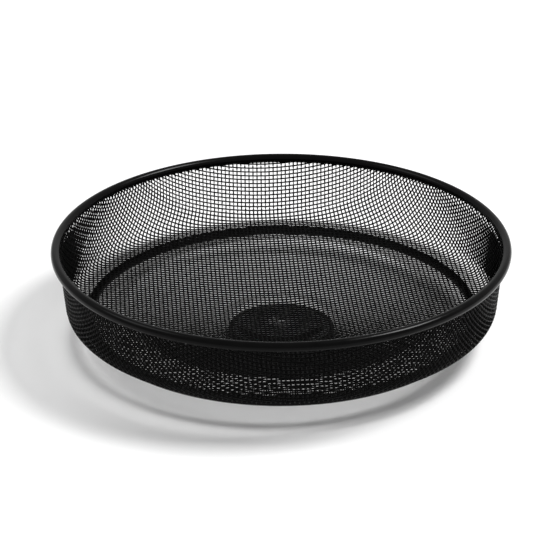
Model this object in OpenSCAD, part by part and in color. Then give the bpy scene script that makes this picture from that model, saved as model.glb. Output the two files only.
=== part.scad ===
// Round turntable tray: a pan pressed from woven steel mesh, edged with a rolled tube, stiffened by a
// tube ring under its floor, and turning on a low ball-bearing base under its dished centre.
// Millimetres, +Z up, origin on the table at the axis of rotation.

/* [Tray] */
// Outside diameter over the rim
tray_d = 254; // [242:1:292]
// Depth from the rim's centreline down to the flat shelf of the floor
tray_depth = 36.9; // [28:0.1:50]
// Drop from the shelf down to the seat at the centre
dish_drop = 10.2; // [8:0.1:12]
// How far the wall leans out from the corner to the rim
wall_lean = 2.5; // [1:0.1:4]
// Radius of the corner between floor and wall
corner_r = 6; // [4:0.5:9]
// Width of the flat shelf, measured in from the foot of the wall
shelf_w = 32.1; // [25:0.1:36]

/* [Mesh] */
// Diameter of one wire of the weave
wire_d = 0.85; // [0.5:0.05:0.9]
// How far the wires bend to either side of the sheet's middle where they cross
crimp = 0.15; // [0.1:0.05:0.4]
// Height of the pressed ripples around the seat
ripple_h = 0.2; // [0:0.1:0.8]
// Spacing of the ripples
ripple_pitch = 12.5; // [10:0.5:16]

/* [Tubes] */
// Diameter of the rim tube and of the support ring
tube_d = 5.3; // [4.5:0.1:6.5]
// Thickness of the strip that the tubes are rolled from
tube_wall = 0.7; // [0.5:0.1:0.9]
// Centreline diameter of the support ring under the shelf
ring_d = 214.8; // [205:0.1:218]

/* [Swivel] */
// Diameter of the hub plate under the seat
hub_d = 44; // [42:0.5:56]
// Height of the step around the seat
seat_step = 0.5; // [0.3:0.1:2]
// Diameter of the bearing's balls
ball_d = 3.5; // [3:0.1:4]
// Number of balls
ball_count = 12; // [8:1:16]
// Diameter of the circle on which the balls run
track_d = 32; // [28:0.5:36]
// Diameter of the pivot rivet's shank
pivot_d = 6; // [5:0.5:7]

/* [Base] */
// Diameter of the base plate
base_d = 56; // [52:0.5:57]
// Thickness of the base plate
base_t = 1.2; // [1:0.1:1.5]
// Width of the foot ring's grip on top of the base plate
lip_grip = 0.8; // [0.5:0.1:2]
// Outside diameter of the rubber foot ring
foot_d = 59.4; // [58:0.1:62]

/* [Hidden] */
$fn = 96;

// Base, from the table up
foot_under = 1;
foot_lip_h = 0.6;
foot_w = 3.2;
base_z = foot_under;
base_top = base_z + base_t;

// Balls in their two tracks
groove_depth = 0.5;
track_clear = 0.08;
ball_r = ball_d / 2;
ball_z = base_top - groove_depth + track_clear + ball_r;
groove_r = ball_r + track_clear;
cage_t = 1.2;
cage_w = 5;
pocket_clear = 0.12;

// Hub plate, with a centre dished down to hide the rivet's head
hub_bottom = ball_z + ball_r + track_clear - groove_depth;
hub_t = 1.7;
hub_top = hub_bottom + hub_t;
well_r = 7.5;
well_web = 1;
well_floor = hub_top - 2.8;
running_clear = 0.05;
washer_t = 0.5;
washer_r = 5.6;
washer_bore_clear = 0.3;
head_r = 4.8;
head_t = 0.9;
head_clear = 0.12;
tail_r = 4.6;
tail_t = 0.6;

// Mesh sheet: the coating joins the wires where they cross, so it is thinner than two wires
sheet_t = wire_d + 2 * crimp;
seat_z = hub_top + sheet_t / 2;
shelf_z = seat_z + dish_drop;
seat_r = hub_d / 2 - 0.5;
step_w = 2.5;
dish_r0 = seat_r + step_w;
ripple_fade = 14;
dish_step = 1.5;

// Rim and wall
tube_r = tube_d / 2;
rim_r = tray_d / 2 - tube_r;
rim_z = shelf_z + tray_depth;
lip_offset = [-2.15, -2.65];
lip_end = 0.9;
flare = 1.5;
lip_corner = [rim_r, rim_z] + lip_offset;
lip_dir = -lip_offset / norm(lip_offset);
wall_r0 = lip_corner[0] - wall_lean;
crease_r = wall_r0 - shelf_w;
slit_w = sheet_t + 0.1;

// Support ring, its top against the underside of the shelf
ring_r = ring_d / 2;
ring_z = shelf_z - sheet_t / 2 - tube_r;

// Height of the mesh's middle surface over the dish, between the step and the crease
function ripple(r) =
    ripple_h * exp(-(r - dish_r0) / ripple_fade) * cos(360 * (r - dish_r0 - 4) / ripple_pitch);
function dish_z(r) =
    let (u = (r - dish_r0) / (crease_r - dish_r0), rise = dish_drop - seat_step)
    seat_z + seat_step + rise * (0.72 * u + 0.42 * u * u - 0.14 * u * u * u) + ripple(r) * (1 - u);

// The corner between the shelf and the leaning wall
wall_dir = let (v = [wall_lean, lip_corner[1] - shelf_z]) v / norm(v);
corner_turn = 90 - atan2(wall_dir[0], wall_dir[1]);
corner_c = [wall_r0 - corner_r, shelf_z + corner_r];

function bezier(a, b, c, t) = (1 - t) * (1 - t) * a + 2 * t * (1 - t) * b + t * t * c;

// Middle line of the mesh sheet's floor, from the centre out to the corner
floor_line = concat(
    [[0, seat_z]],
    [for (t = [0:0.2:0.8])
        [seat_r + step_w * t, seat_z + (dish_z(dish_r0) - seat_z) * t * t * (3 - 2 * t)]],
    [for (r = [dish_r0:dish_step:crease_r - 0.1]) [r, dish_z(r)]],
    [[crease_r, shelf_z], [corner_c[0], shelf_z]]
);

// Middle line of the wall, from the corner up to the lip inside the rim
wall_line = concat(
    [for (a = [0:corner_turn / 8:corner_turn]) corner_c + corner_r * [sin(a), -cos(a)]],
    [for (t = [0:0.25:1])
        bezier(lip_corner - flare * wall_dir, lip_corner, lip_corner + flare * lip_dir, t)],
    [[rim_r, rim_z] - lip_end * lip_dir]
);

// A sheet of thickness t around a middle line that starts out level
function unit(v) = v / norm(v);
function along(p, i) = i == 0 ? [1, 0] : unit(p[min(i + 1, len(p) - 1)] - p[i - 1]);
function beside(p, i, d) = let (a = along(p, i)) p[i] + d * [-a[1], a[0]];
module revolved_sheet(line, t) {
    last = len(line) - 1;
    rotate_extrude()
        polygon(concat(
            [for (i = [0:last]) beside(line, i, -t / 2)],
            [for (i = [last:-1:0]) beside(line, i, t / 2)]
        ));
}

module tube_section() {
    difference() {
        circle(r = tube_r);
        circle(r = tube_r - tube_wall);
    }
}

// Rolled rim with a slit along its lower inner side, where it grips the lip of the mesh
module rim_tube() {
    color([0.03, 0.03, 0.03])
    rotate_extrude()
        translate([rim_r, rim_z])
            difference() {
                tube_section();
                rotate(atan2(-lip_dir[1], -lip_dir[0]))
                    translate([0, -slit_w / 2]) square([2 * tube_r, slit_w]);
            }
}

// The pan is pressed from one sheet of mesh: its wall and its floor meet at the foot of the corner
module mesh_wall() {
    color([0.08, 0.08, 0.08])
    revolved_sheet(wall_line, sheet_t);
}

module mesh_floor() {
    color([0.1, 0.1, 0.1])
    revolved_sheet(floor_line, sheet_t);
}

module support_ring() {
    color([0.03, 0.03, 0.03])
    rotate_extrude()
        translate([ring_r, ring_z]) tube_section();
}

// Ring-shaped track groove for the balls
module track() {
    rotate_extrude()
        translate([track_d / 2, ball_z]) circle(r = groove_r);
}

module hub_plate() {
    web_bottom = well_floor - well_web;
    color([0.5, 0.5, 0.51])
    difference() {
        union() {
            translate([0, 0, hub_bottom]) cylinder(r = hub_d / 2, h = hub_t);
            translate([0, 0, web_bottom]) cylinder(r = well_r + 1.5, h = hub_bottom - web_bottom + 0.1);
        }
        track();
        translate([0, 0, well_floor]) cylinder(r = well_r, h = hub_t + 2);
        translate([0, 0, web_bottom - 1]) cylinder(r = pivot_d / 2 + running_clear, h = hub_t + 2);
    }
}

module thrust_washer() {
    color([0.12, 0.12, 0.12])
    translate([0, 0, well_floor])
        difference() {
            cylinder(r = washer_r, h = washer_t);
            translate([0, 0, -1]) cylinder(r = pivot_d / 2 + washer_bore_clear, h = washer_t + 2);
        }
}

// Turns every ball's place about the axis
module at_each_ball() {
    for (i = [0:ball_count - 1])
        rotate(i * 360 / ball_count)
            translate([track_d / 2, 0, ball_z]) children();
}

module ball_cage() {
    color([0.9, 0.9, 0.86])
    difference() {
        translate([0, 0, ball_z - cage_t / 2]) cylinder(d = track_d + cage_w, h = cage_t);
        translate([0, 0, ball_z - cage_t]) cylinder(d = track_d - cage_w, h = 2 * cage_t);
        at_each_ball() cylinder(r = ball_r + pocket_clear, h = 2 * cage_t, center = true);
    }
}

module balls() {
    color([0.75, 0.76, 0.78])
    at_each_ball() sphere(r = ball_r);
}

module base_plate() {
    color([0.62, 0.63, 0.64])
    difference() {
        translate([0, 0, base_z]) cylinder(d = base_d, h = base_t);
        track();
        translate([0, 0, -1]) cylinder(d = pivot_d, h = base_top + 2);
    }
}

// Rivet that holds the hub down on the bearing, its tail set under the base plate
module pivot_rivet() {
    head_z = well_floor + washer_t + head_clear;
    color([0.5, 0.5, 0.51])
    union() {
        translate([0, 0, base_z - tail_t]) cylinder(r = tail_r, h = tail_t);
        translate([0, 0, base_z - tail_t]) cylinder(d = pivot_d, h = head_z + head_t - base_z + tail_t);
        translate([0, 0, head_z]) cylinder(r = head_r, h = head_t);
    }
}

// Soft ring that grips the edge of the base plate and stands on the table
module foot_ring() {
    color([0.04, 0.04, 0.04])
    difference() {
        cylinder(d = foot_d, h = base_top + foot_lip_h);
        translate([0, 0, -1]) cylinder(d = base_d - 2 * foot_w, h = base_top + 3);
        translate([0, 0, base_z]) cylinder(d = base_d, h = base_t);
        translate([0, 0, base_z]) cylinder(d = base_d - 2 * lip_grip, h = base_top + 3);
    }
}

rim_tube();
mesh_wall();
mesh_floor();
support_ring();
hub_plate();
thrust_washer();
ball_cage();
balls();
base_plate();
pivot_rivet();
foot_ring();
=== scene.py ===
"""Round turntable tray of woven black steel mesh: looks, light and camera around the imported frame.

The pan is made wire by wire. A woven sheet that is pressed into a pan keeps the distance between its
crossings, so the crossings form a net: each one lies on the pan's surface, one pitch from two neighbours.
"""

import math

import bpy
import numpy as np
from mathutils import Matrix, Vector


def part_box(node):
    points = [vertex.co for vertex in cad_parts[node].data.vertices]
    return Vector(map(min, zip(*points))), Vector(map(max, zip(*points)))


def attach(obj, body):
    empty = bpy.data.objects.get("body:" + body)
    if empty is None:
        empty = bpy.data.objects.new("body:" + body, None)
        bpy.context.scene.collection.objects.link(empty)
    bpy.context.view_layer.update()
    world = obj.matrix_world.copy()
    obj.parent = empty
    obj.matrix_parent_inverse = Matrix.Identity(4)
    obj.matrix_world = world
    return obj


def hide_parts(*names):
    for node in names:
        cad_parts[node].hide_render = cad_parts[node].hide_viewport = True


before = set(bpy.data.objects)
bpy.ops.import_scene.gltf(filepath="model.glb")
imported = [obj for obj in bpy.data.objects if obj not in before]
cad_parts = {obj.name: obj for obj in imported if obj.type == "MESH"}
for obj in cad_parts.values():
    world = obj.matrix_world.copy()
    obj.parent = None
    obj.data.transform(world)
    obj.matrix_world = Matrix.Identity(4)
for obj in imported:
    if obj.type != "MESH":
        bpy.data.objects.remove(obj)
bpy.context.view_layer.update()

MM = 0.001

# Places read from the frame
RIM_LO, RIM_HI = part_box("rim_tube")
PAN_LO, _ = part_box("mesh_floor")
RING_LO, RING_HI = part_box("support_ring")
HUB_LO, HUB_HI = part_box("hub_plate")
BASE_LO, BASE_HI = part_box("base_plate")
FOOT_LO, FOOT_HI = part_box("foot_ring")

TUBE_R = (RIM_HI.z - RIM_LO.z) / 2
TUBE_WALL = 0.7 * MM
TRAY_R = RIM_HI.x
RIM_R = TRAY_R - TUBE_R
RIM_Z = (RIM_LO.z + RIM_HI.z) / 2
RING_R = RING_HI.x - TUBE_R
RING_Z = (RING_LO.z + RING_HI.z) / 2

# The swivel: the hub plate's thickness and well, the bores, the ball track, and the foot ring's lips
HUB_T = 1.7 * MM
HUB_BOTTOM = HUB_HI.z - HUB_T
WELL_R = 7.5 * MM
WELL_WEB = 1 * MM
WELL_RIM = 1.5 * MM
HUB_BORE = 3.05 * MM
BASE_BORE = 3 * MM
TRACK_R = 16 * MM
GROOVE_R = 1.83 * MM
GROOVE_DEPTH = 0.5 * MM
FOOT_W = 3.2 * MM
LIP_GRIP = 0.8 * MM

# The weave
WIRE_R = 0.425 * MM
CRIMP_ACROSS = 0.05 * MM
CRIMP_ALONG = 0.15 * MM
PITCH = 2.45 * MM
WEAVE_TURN = math.radians(4.5)
WIRE_SIDES = 6

# The pan's middle surface, as in the CAD
SHEET_T = 2 * (WIRE_R + CRIMP_ALONG)
SEAT_Z = PAN_LO.z + SHEET_T / 2
DISH_DROP = 10.2 * MM
SHELF_Z = SEAT_Z + DISH_DROP
SEAT_R = HUB_HI.x - 0.5 * MM
STEP_W = 2.5 * MM
STEP_H = 0.5 * MM
DISH_R0 = SEAT_R + STEP_W
CORNER_R = 6 * MM
SHELF_W = 32.1 * MM
WALL_LEAN = 2.5 * MM
RIPPLE_H = 0.2 * MM
RIPPLE_PITCH = 12.5 * MM
RIPPLE_FADE = 14 * MM
LIP_OFFSET = np.array([-2.15, -2.65]) * MM
LIP_END = 0.9 * MM
FLARE = 1.5 * MM

# The surface runs on past the lip, so that crossings beyond it can be found
PAST_LIP = 25 * MM

# The surface's profile as evenly spaced points, and over how many of them its slope is averaged
PROFILE_POINTS = 4000
SLOPE_SPAN = 9

# The net is worked out this many crossings past the lip, and has this much room for longer rows
NET_PAST = 3
NET_ROOM = 1.3

# Newton's steps for one crossing of the net, and the most that one step may move it
NET_STEPS = 14
NET_MOVE = 0.4 * PITCH
NET_TURN = 0.05


# ---------------------------------------------------------------- meshes

def add_mesh(name, verts, faces, smooth=True):
    """A mesh object from its corners and its faces."""
    mesh = bpy.data.meshes.new(name)
    mesh.from_pydata([tuple(v) for v in verts], [], [tuple(f) for f in faces])
    mesh.validate()
    if smooth:
        mesh.polygons.foreach_set("use_smooth", [True] * len(mesh.polygons))
    piece = bpy.data.objects.new(name, mesh)
    bpy.context.scene.collection.objects.link(piece)
    return piece


def place(piece, body, slot, material, *nodes):
    """Gives a piece its body and its material, and hides the CAD nodes that it stands for. The slot is not
    used.
    """
    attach(piece, body)
    if nodes:
        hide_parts(*nodes)
    piece.data.materials.clear()
    piece.data.materials.append(material)
    return piece


def arc(centre, radius, start, end, count):
    """Points on an arc, angles in degrees."""
    angles = np.radians(np.linspace(start, end, count))
    return [(centre[0] + radius * math.cos(a), centre[1] + radius * math.sin(a)) for a in angles]


def revolve(name, outline, count=192):
    """A closed outline of (r, z) points, counterclockwise in the r-z plane, turned about the Z axis."""
    outline = np.array(outline)
    n = len(outline)
    turn = np.linspace(0, 2 * math.pi, count, endpoint=False)
    verts = np.stack([
        np.outer(np.cos(turn), outline[:, 0]),
        np.outer(np.sin(turn), outline[:, 0]),
        np.tile(outline[:, 1], (count, 1)),
    ], axis=-1).reshape(-1, 3)
    ring = np.arange(count)
    after = (ring + 1) % count
    faces = []
    for k in range(n):
        j = (k + 1) % n
        faces.append(np.stack([ring * n + k, after * n + k, after * n + j, ring * n + j], axis=-1))
    return add_mesh(name, verts, np.concatenate(faces))


def rounded(corners, radius, steps=5):
    """An outline with each convex or concave corner rounded by a curve of that size."""
    corners = [np.array(c, float) for c in corners]
    out = []
    for k, corner in enumerate(corners):
        before = corners[k - 1] - corner
        after = corners[(k + 1) % len(corners)] - corner
        cut = min(radius, np.linalg.norm(before) * 0.45, np.linalg.norm(after) * 0.45)
        a = corner + before / np.linalg.norm(before) * cut
        b = corner + after / np.linalg.norm(after) * cut
        for t in np.linspace(0, 1, steps):
            out.append((1 - t) ** 2 * a + 2 * t * (1 - t) * corner + t ** 2 * b)
    return out


# ---------------------------------------------------------------- the pan's surface

def pan_profile():
    """Middle line of the pan as (r, z) points, from the centre to the lip and a little past it."""
    lip_corner = np.array([RIM_R, RIM_Z]) + LIP_OFFSET
    lip_dir = -LIP_OFFSET / np.linalg.norm(LIP_OFFSET)
    wall_r0 = lip_corner[0] - WALL_LEAN
    wall_dir = np.array([WALL_LEAN, lip_corner[1] - SHELF_Z])
    wall_dir = wall_dir / np.linalg.norm(wall_dir)
    crease_r = wall_r0 - SHELF_W

    def dish_z(r):
        u = (r - DISH_R0) / (crease_r - DISH_R0)
        rise = DISH_DROP - STEP_H
        wave = RIPPLE_H * np.exp(-(r - DISH_R0) / RIPPLE_FADE)
        wave = wave * np.cos(2 * math.pi * (r - DISH_R0 - 4 * MM) / RIPPLE_PITCH)
        return SEAT_Z + STEP_H + rise * (0.72 * u + 0.42 * u ** 2 - 0.14 * u ** 3) + wave * (1 - u)

    line = [(0.0, SEAT_Z)]
    for t in np.arange(0, 1, 0.2):
        line.append((SEAT_R + STEP_W * t, SEAT_Z + (dish_z(DISH_R0) - SEAT_Z) * t * t * (3 - 2 * t)))
    line += [(r, dish_z(r)) for r in np.arange(DISH_R0, crease_r, 0.75 * MM)]
    line.append((crease_r, SHELF_Z))
    turn = 90 - math.degrees(math.atan2(wall_dir[0], wall_dir[1]))
    line += arc((wall_r0 - CORNER_R, SHELF_Z + CORNER_R), CORNER_R, -90, turn - 90, 13)
    a = lip_corner - FLARE * wall_dir
    b = lip_corner + FLARE * lip_dir
    for t in np.linspace(0, 1, 7):
        line.append(tuple((1 - t) ** 2 * a + 2 * t * (1 - t) * lip_corner + t * t * b))
    lip = np.array([RIM_R, RIM_Z]) - LIP_END * lip_dir
    line.append(tuple(lip))
    end = len(line) - 1
    line.append((lip[0], lip[1] + PAST_LIP))
    return np.array(line), end


class Surface:
    """The pan's middle surface, by the distance s along its profile and the angle a about the axis."""

    def __init__(self):
        line, end = pan_profile()
        steps = np.linalg.norm(np.diff(line, axis=0), axis=1)
        s = np.concatenate([[0], np.cumsum(steps)])
        self.end = s[end]
        self.s = np.linspace(0, s[-1], PROFILE_POINTS)
        self.r = np.interp(self.s, s, line[:, 0])
        self.z = np.interp(self.s, s, line[:, 1])
        soften = np.ones(SLOPE_SPAN) / SLOPE_SPAN
        pad = SLOPE_SPAN // 2
        slope_r = np.convolve(np.pad(np.gradient(self.r, self.s), pad, mode="edge"), soften, "valid")
        slope_z = np.convolve(np.pad(np.gradient(self.z, self.s), pad, mode="edge"), soften, "valid")
        size = np.hypot(slope_r, slope_z)
        self.dr = slope_r / size
        self.dz = slope_z / size

    def at(self, s, a):
        """Points, the slope along s, the slope along a, and the upper normal."""
        r = np.interp(s, self.s, self.r)
        z = np.interp(s, self.s, self.z)
        dr = np.interp(s, self.s, self.dr)
        dz = np.interp(s, self.s, self.dz)
        c = np.cos(a)
        d = np.sin(a)
        point = np.stack([r * c, r * d, z], axis=-1)
        along = np.stack([dr * c, dr * d, dz], axis=-1)
        round_ = np.stack([-r * d, r * c, 0 * r], axis=-1)
        normal = np.stack([-dz * c, -dz * d, dr], axis=-1)
        return point, along, round_, normal


def net_quadrant(surface):
    """The crossings of one quarter of the weave: s and angle of crossing (i, j), both counted from 0."""
    count = int(surface.end / PITCH * NET_ROOM) + NET_PAST
    s = np.full((count, count), np.nan)
    a = np.full((count, count), np.nan)
    step = np.arange(count) * PITCH
    s[:, 0] = step
    a[:, 0] = 0
    s[0, :] = step
    a[0, :] = math.pi / 2
    limit = surface.end + NET_PAST * PITCH
    for total in range(2, 2 * count - 1):
        i = np.arange(max(1, total - count + 1), min(count, total))
        j = total - i
        known = (s[i - 1, j] < limit) & (s[i, j - 1] < limit)
        i = i[known]
        j = j[known]
        if len(i) == 0:
            continue
        left, *_ = surface.at(s[i - 1, j], a[i - 1, j])
        below, *_ = surface.at(s[i, j - 1], a[i, j - 1])
        corner, *_ = surface.at(s[i - 1, j - 1], a[i - 1, j - 1])
        guess = left + below - corner
        new_a = np.arctan2(guess[:, 1], guess[:, 0])
        new_s = (s[i - 1, j] + s[i, j - 1]) / 2
        radial = np.hypot(guess[:, 0], guess[:, 1]) - np.interp(new_s, surface.s, surface.r)
        lift = guess[:, 2] - np.interp(new_s, surface.s, surface.z)
        slope = np.stack([np.interp(new_s, surface.s, surface.dr), np.interp(new_s, surface.s, surface.dz)])
        new_s = new_s + radial * slope[0] + lift * slope[1]
        for _ in range(NET_STEPS):
            point, along, round_, _n = surface.at(new_s, new_a)
            gap_l = point - left
            gap_b = point - below
            miss_l = (PITCH ** 2 - (gap_l ** 2).sum(-1)) / 2
            miss_b = (PITCH ** 2 - (gap_b ** 2).sum(-1)) / 2
            m00 = (gap_l * along).sum(-1)
            m01 = (gap_l * round_).sum(-1)
            m10 = (gap_b * along).sum(-1)
            m11 = (gap_b * round_).sum(-1)
            det = m00 * m11 - m01 * m10
            step_s = (miss_l * m11 - miss_b * m01) / det
            step_a = (m00 * miss_b - m10 * miss_l) / det
            new_s = new_s + np.clip(step_s, -NET_MOVE, NET_MOVE)
            new_a = new_a + np.clip(step_a, -NET_TURN, NET_TURN)
        s[i, j] = new_s
        a[i, j] = new_a
    return s, a


def wire_paths(surface, s, a, first):
    """The middle lines of one family of wires over the whole pan. Neighbours pass over and under in turn."""
    paths = []
    count = s.shape[0]
    crimp = CRIMP_ACROSS if first else -CRIMP_ALONG
    for lane in range(-count + 1, count):
        row = s[:, abs(lane)] if first else s[abs(lane), :]
        turn = a[:, abs(lane)] if first else a[abs(lane), :]
        inside = np.where(~(row < surface.end))[0]
        last = inside[0] if len(inside) else count - 1
        if last < 1 or np.isnan(row[last]):
            continue
        reach = (surface.end - row[last - 1]) / (row[last] - row[last - 1])
        index = np.concatenate([np.arange(0, last, 0.5), [last - 1 + reach]])
        if index[-1] - index[-2] < 0.2:
            index = np.delete(index, -2)
        half_s = np.interp(index, np.arange(last + 1), row[:last + 1])
        half_a = np.interp(index, np.arange(last + 1), turn[:last + 1])
        point, _s, _r, normal = surface.at(half_s, half_a)
        height = crimp * np.cos(math.pi * (index + lane))
        path = point + normal * height[:, None]
        flip = np.array([-1, 1, 1]) if first else np.array([1, -1, 1])
        mirror = path[:0:-1] * flip
        whole = np.concatenate([mirror, path])
        side = -1 if lane < 0 else 1
        whole = whole * (np.array([1, side, 1]) if first else np.array([side, 1, 1]))
        paths.append(whole)
    return paths


def tubes(name, paths, wire_r, sides):
    """One mesh of wires along the paths, with closed ends. Each is a prism as wide on average as the wire."""
    radius = wire_r * math.pi / (sides * math.sin(math.pi / sides))
    verts = []
    faces = []
    start = 0
    spin = np.linspace(0, 2 * math.pi, sides, endpoint=False)
    for path in paths:
        n = len(path)
        along = np.gradient(path, axis=0)
        along = along / np.linalg.norm(along, axis=1)[:, None]
        flat = np.cross(along, [0, 0, 1.0])
        steep = np.linalg.norm(flat, axis=1) < 0.15
        outward = path[steep] * [1, 1, 0]
        flat[steep] = np.cross(along[steep], outward / np.linalg.norm(outward, axis=1)[:, None])
        flat = flat / np.linalg.norm(flat, axis=1)[:, None]
        up = np.cross(flat, along)
        ring = path[:, None, :] + radius * (
            np.cos(spin)[None, :, None] * flat[:, None, :] + np.sin(spin)[None, :, None] * up[:, None, :])
        verts.append(ring.reshape(-1, 3))
        k = np.arange(n - 1)[:, None] * sides
        c = np.arange(sides)[None, :]
        d = (c + 1) % sides
        quads = np.stack([k + c, k + d, k + sides + d, k + sides + c], axis=-1).reshape(-1, 4)
        faces += (quads + start).tolist()
        faces.append([start + x for x in range(sides)][::-1])
        faces.append([start + (n - 1) * sides + x for x in range(sides)])
        start += n * sides
    return add_mesh(name, np.concatenate(verts), faces)


# ---------------------------------------------------------------- materials

def node_material(name):
    """A new material, its nodes, its links and its Principled shader."""
    mat = bpy.data.materials.new(name)
    mat.use_nodes = True
    return mat, mat.node_tree.nodes, mat.node_tree.links, mat.node_tree.nodes["Principled BSDF"]


def noise(nodes, links, scale, detail=2.0):
    """A noise texture in the piece's own coordinates."""
    where = nodes.new("ShaderNodeTexCoord")
    tex = nodes.new("ShaderNodeTexNoise")
    tex.inputs["Scale"].default_value = scale
    tex.inputs["Detail"].default_value = detail
    links.new(where.outputs["Object"], tex.inputs["Vector"])
    return tex


def spread(nodes, links, source, low, high):
    """Maps the middle of a noise's values, where most of them lie, to the range low to high."""
    ramp = nodes.new("ShaderNodeMapRange")
    ramp.inputs["From Min"].default_value = 0.3
    ramp.inputs["From Max"].default_value = 0.7
    ramp.inputs["To Min"].default_value = low
    ramp.inputs["To Max"].default_value = high
    links.new(source, ramp.inputs["Value"])
    return ramp.outputs["Result"]


def bump(nodes, links, shader, height, strength, distance):
    """Fine relief from a texture's height."""
    node = nodes.new("ShaderNodeBump")
    node.inputs["Strength"].default_value = strength
    node.inputs["Distance"].default_value = distance
    links.new(height, node.inputs["Height"])
    links.new(node.outputs["Normal"], shader.inputs["Normal"])


def tint(nodes, links, shader, source, dark, light):
    """Colour that varies a little between two tones."""
    ramp = nodes.new("ShaderNodeValToRGB")
    ramp.color_ramp.elements[0].position = 0.35
    ramp.color_ramp.elements[1].position = 0.65
    ramp.color_ramp.elements[0].color = (*dark, 1)
    ramp.color_ramp.elements[1].color = (*light, 1)
    links.new(source, ramp.inputs["Fac"])
    links.new(ramp.outputs["Color"], shader.inputs["Base Color"])


def coated_steel(name, dark, light, rough, gloss, peel=0.06):
    """Baked coating on steel: faint orange peel, uneven gloss."""
    mat, nodes, links, shader = node_material(name)
    shader.inputs["Metallic"].default_value = 0.0
    shader.inputs["Specular IOR Level"].default_value = gloss
    cloud = noise(nodes, links, 90.0, 3.0)
    tint(nodes, links, shader, cloud.outputs["Fac"], dark, light)
    links.new(spread(nodes, links, cloud.outputs["Fac"], rough[0], rough[1]), shader.inputs["Roughness"])
    fine = noise(nodes, links, 900.0, 2.0)
    bump(nodes, links, shader, fine.outputs["Fac"], peel, 0.0002)
    return mat


def zinc_plate(name):
    """Zinc-plated pressed steel: dull grey metal with a spangle and a slightly uneven face."""
    mat, nodes, links, shader = node_material(name)
    shader.inputs["Metallic"].default_value = 1.0
    cells = nodes.new("ShaderNodeTexVoronoi")
    cells.inputs["Scale"].default_value = 520.0
    where = nodes.new("ShaderNodeTexCoord")
    links.new(where.outputs["Object"], cells.inputs["Vector"])
    tint(nodes, links, shader, cells.outputs["Distance"], (0.52, 0.53, 0.54), (0.62, 0.63, 0.64))
    cloud = noise(nodes, links, 120.0, 4.0)
    links.new(spread(nodes, links, cloud.outputs["Fac"], 0.28, 0.48), shader.inputs["Roughness"])
    bump(nodes, links, shader, cloud.outputs["Fac"], 0.08, 0.0003)
    return mat


def polished_steel(name):
    """Ground and polished steel, with faint differences in gloss."""
    mat, nodes, links, shader = node_material(name)
    shader.inputs["Metallic"].default_value = 1.0
    cloud = noise(nodes, links, 700.0, 2.0)
    tint(nodes, links, shader, cloud.outputs["Fac"], (0.66, 0.67, 0.69), (0.76, 0.77, 0.79))
    links.new(spread(nodes, links, cloud.outputs["Fac"], 0.06, 0.14), shader.inputs["Roughness"])
    return mat


def nylon(name, dark, light):
    """Moulded nylon: slightly mottled and waxy."""
    mat, nodes, links, shader = node_material(name)
    shader.inputs["Subsurface Weight"].default_value = 0.15
    shader.inputs["Subsurface Scale"].default_value = 0.001
    cloud = noise(nodes, links, 300.0, 3.0)
    tint(nodes, links, shader, cloud.outputs["Fac"], dark, light)
    links.new(spread(nodes, links, cloud.outputs["Fac"], 0.38, 0.52), shader.inputs["Roughness"])
    bump(nodes, links, shader, cloud.outputs["Fac"], 0.05, 0.0002)
    return mat


def rubber(name):
    """Matt black rubber with a fine grain."""
    mat, nodes, links, shader = node_material(name)
    cloud = noise(nodes, links, 200.0, 3.0)
    tint(nodes, links, shader, cloud.outputs["Fac"], (0.012, 0.012, 0.012), (0.026, 0.026, 0.026))
    links.new(spread(nodes, links, cloud.outputs["Fac"], 0.7, 0.85), shader.inputs["Roughness"])
    grain = noise(nodes, links, 1800.0, 2.0)
    bump(nodes, links, shader, grain.outputs["Fac"], 0.25, 0.0001)
    return mat


GLOSS_BLACK = coated_steel("gloss_black", dark=(0.0006, 0.0006, 0.0006), light=(0.0012, 0.0012, 0.0012),
                           rough=(0.14, 0.22), gloss=0.08)
MESH_BLACK = coated_steel("mesh_black", dark=(0.0008, 0.0008, 0.0008), light=(0.0016, 0.0016, 0.0016),
                          rough=(0.34, 0.46), gloss=0.04, peel=0.03)
HUB_GREY = coated_steel("hub_grey", dark=(0.50, 0.50, 0.505), light=(0.56, 0.56, 0.565),
                        rough=(0.50, 0.60), gloss=0.15)
ZINC = zinc_plate("zinc_steel")
BALL_STEEL = polished_steel("ball_steel")
NYLON = nylon("nylon", (0.74, 0.72, 0.65), (0.84, 0.83, 0.78))
BLACK_NYLON = nylon("black_nylon", (0.018, 0.018, 0.018), (0.03, 0.03, 0.03))
RUBBER = rubber("foot_rubber")


# ---------------------------------------------------------------- pieces

def make_weave():
    """The woven pan in four pieces: each family of wires, split at the middle."""
    surface = Surface()
    s, a = net_quadrant(surface)
    turn = np.array(Matrix.Rotation(WEAVE_TURN, 3, "Z"))
    for first, names in ((True, ("wires_across_front", "wires_across_back")),
                         (False, ("wires_along_left", "wires_along_right"))):
        paths = [p @ turn.T for p in wire_paths(surface, s, a, first)]
        half = len(paths) // 2
        for name, share in zip(names, (paths[:half], paths[half:])):
            piece = tubes(name, share, WIRE_R, WIRE_SIDES)
            place(piece, "tray", "mesh_black", MESH_BLACK, "mesh_wall", "mesh_floor")


def make_rim():
    """Rolled rim: a strip curled into a tube, its two edges gripping the lip of the mesh."""
    clearance = 0.05 * MM
    edge_bevel = 4
    mouth = math.degrees(math.atan2(LIP_OFFSET[1], LIP_OFFSET[0]))
    half_gap = math.degrees((SHEET_T / 2 + clearance) / TUBE_R)
    start = mouth + half_gap
    end = mouth + 360 - half_gap
    centre = (RIM_R, RIM_Z)
    outside = arc(centre, TUBE_R, start, end, 49)
    inside = arc(centre, TUBE_R - TUBE_WALL, end - edge_bevel, start + edge_bevel, 33)
    piece = revolve("rim_rolled", outside + inside, 360)
    place(piece, "tray", "tube_black", GLOSS_BLACK, "rim_tube")


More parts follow.
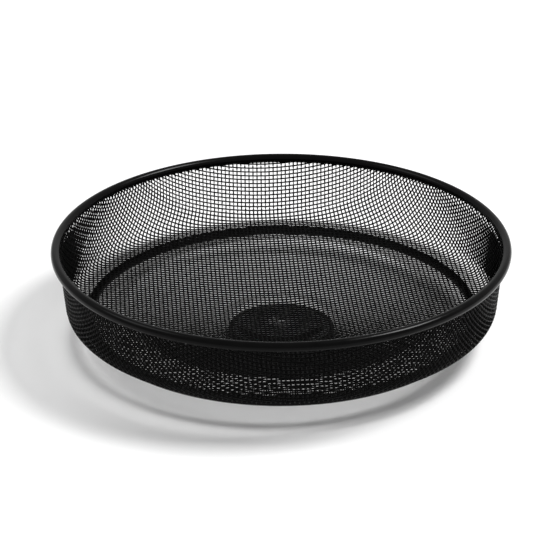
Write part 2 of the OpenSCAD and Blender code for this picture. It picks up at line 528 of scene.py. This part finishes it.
def make_support_ring():
    """Tube ring under the shelf, closed without a seam."""
    outline = arc((RING_R, RING_Z), TUBE_R, 0, 360, 41)[:-1]
    piece = revolve("ring_tube", outline, 320)
    place(piece, "tray", "tube_black", GLOSS_BLACK, "support_ring")


def groove(z, up):
    """Half of the ball track's section, cut into a plate's face at height z, from the inner edge outwards."""
    side = 1 if up else -1
    centre = (TRACK_R, z - side * (GROOVE_R - GROOVE_DEPTH))
    reach = math.degrees(math.acos(1 - GROOVE_DEPTH / GROOVE_R))
    return arc(centre, GROOVE_R, side * (90 + reach), side * (90 - reach), 9)


def make_hub():
    """Pressed hub plate: a well for the rivet's head at the centre, the ball track under it."""
    well_z = HUB_LO.z + WELL_WEB
    lower = [(HUB_BORE, HUB_LO.z), (WELL_R + WELL_RIM, HUB_LO.z), (WELL_R + WELL_RIM, HUB_BOTTOM)]
    edge = [(HUB_HI.x, HUB_BOTTOM), (HUB_HI.x, HUB_HI.z)]
    upper = [(WELL_R, HUB_HI.z), (WELL_R, well_z), (HUB_BORE, well_z)]
    piece = revolve("hub_pressed", rounded(lower + groove(HUB_BOTTOM, True) + edge + upper, 0.4 * MM))
    place(piece, "tray", "hub_grey", HUB_GREY, "hub_plate")


def make_base():
    """Pressed base plate with the lower ball track."""
    lower = [(BASE_BORE, BASE_LO.z), (BASE_HI.x, BASE_LO.z), (BASE_HI.x, BASE_HI.z)]
    outline = lower + groove(BASE_HI.z, False)[::-1] + [(BASE_BORE, BASE_HI.z)]
    piece = revolve("base_pressed", rounded(outline, 0.25 * MM))
    place(piece, "base", "zinc_steel", ZINC, "base_plate")


def make_foot():
    """Moulded rubber ring whose two lips hold the edge of the base plate."""
    inner = BASE_HI.x - FOOT_W
    grip = BASE_HI.x - LIP_GRIP
    outline = [(inner, FOOT_LO.z), (FOOT_HI.x, FOOT_LO.z), (FOOT_HI.x, FOOT_HI.z), (grip, FOOT_HI.z),
               (grip, BASE_HI.z), (BASE_HI.x, BASE_HI.z), (BASE_HI.x, BASE_LO.z), (inner, BASE_LO.z)]
    piece = revolve("foot_moulded", rounded(outline, 0.25 * MM))
    place(piece, "base", "foot_rubber", RUBBER, "foot_ring")


make_weave()
make_rim()
make_support_ring()
make_hub()
make_base()
make_foot()

CAD_LOOKS = {
    "thrust_washer": ("black_nylon", BLACK_NYLON),
    "ball_cage": ("nylon", NYLON),
    "balls": ("ball_steel", BALL_STEEL),
    "pivot_rivet": ("hub_grey", HUB_GREY),
}
for node, (slot_name, material) in CAD_LOOKS.items():
    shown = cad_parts[node]
    shown.data.materials.clear()
    shown.data.materials.append(material)


# ---------------------------------------------------------------- floor, light, camera

def plain_material(name, color, rough):
    """One even colour, for the floor."""
    mat, _nodes, _links, shader = node_material(name)
    shader.inputs["Base Color"].default_value = (*color, 1)
    shader.inputs["Roughness"].default_value = rough
    return mat


def make_floor():
    """Plain pale floor, large enough to fill the view."""
    reach = 6.0
    corners = [(-reach, -reach, 0), (reach, -reach, 0), (reach, reach, 0), (-reach, reach, 0)]
    floor = add_mesh("floor", corners, [(0, 1, 2, 3)], smooth=False)
    floor.data.materials.append(plain_material("floor_white", (0.86, 0.86, 0.86), 0.6))


def area_light(name, spot, target, size, power):
    """Rectangular lamp at a spot, turned to its target."""
    data = bpy.data.lights.new(name, "AREA")
    data.shape = "RECTANGLE"
    data.size, data.size_y = size
    data.energy = power
    lamp = bpy.data.objects.new(name, data)
    bpy.context.scene.collection.objects.link(lamp)
    lamp.location = spot
    lamp.rotation_euler = (Vector(target) - Vector(spot)).to_track_quat("-Z", "Y").to_euler()


def make_world(strength):
    """Even white light from all around."""
    world = bpy.data.worlds.new("studio")
    bpy.context.scene.world = world
    world.use_nodes = True
    back = world.node_tree.nodes["Background"]
    back.inputs["Color"].default_value = (1, 1, 1, 1)
    back.inputs["Strength"].default_value = strength


def make_camera():
    """Long lens, looking down at the tray and aimed just under the rim's centre."""
    focal_pixels = 2200
    image_pixels = 551
    elevation = math.radians(24.652)
    distance = 9.581 * TRAY_R
    aim_down = 0.0144
    yaw = -0.0026
    roll = -0.0035
    target = np.array([0, 0, RIM_Z])
    eye = target + distance * np.array([0, -math.cos(elevation), math.sin(elevation)])
    forward = (target - eye) / distance
    right = np.array([1.0, 0, 0])
    up = np.cross(right, forward)
    forward = forward * math.cos(aim_down) - up * math.sin(aim_down)
    up = np.cross(right, forward)
    forward, right = (forward * math.cos(yaw) + right * math.sin(yaw),
                      right * math.cos(yaw) - forward * math.sin(yaw))
    right, up = (right * math.cos(roll) + up * math.sin(roll),
                 up * math.cos(roll) - right * math.sin(roll))
    data = bpy.data.cameras.new("camera")
    data.sensor_width = 36.0
    data.lens = focal_pixels / image_pixels * data.sensor_width
    camera = bpy.data.objects.new("camera", data)
    bpy.context.scene.collection.objects.link(camera)
    axes = Matrix((right, up, -forward)).transposed().to_4x4()
    camera.matrix_world = Matrix.Translation(eye) @ axes
    bpy.context.scene.camera = camera


make_floor()
make_world(0.6)
area_light("key", (1.05, 0.10, 1.70), (0, 0, 0), (0.65, 0.65), 38)
area_light("fill", (-1.2, 0.15, 1.50), (0, 0, 0), (0.8, 0.8), 6)
area_light("backdrop", (0, 2.4, 1.05), (0, 0, 0.2), (2.0, 0.6), 1.0)
make_camera()
bpy.context.scene.view_settings.view_transform = "Standard"
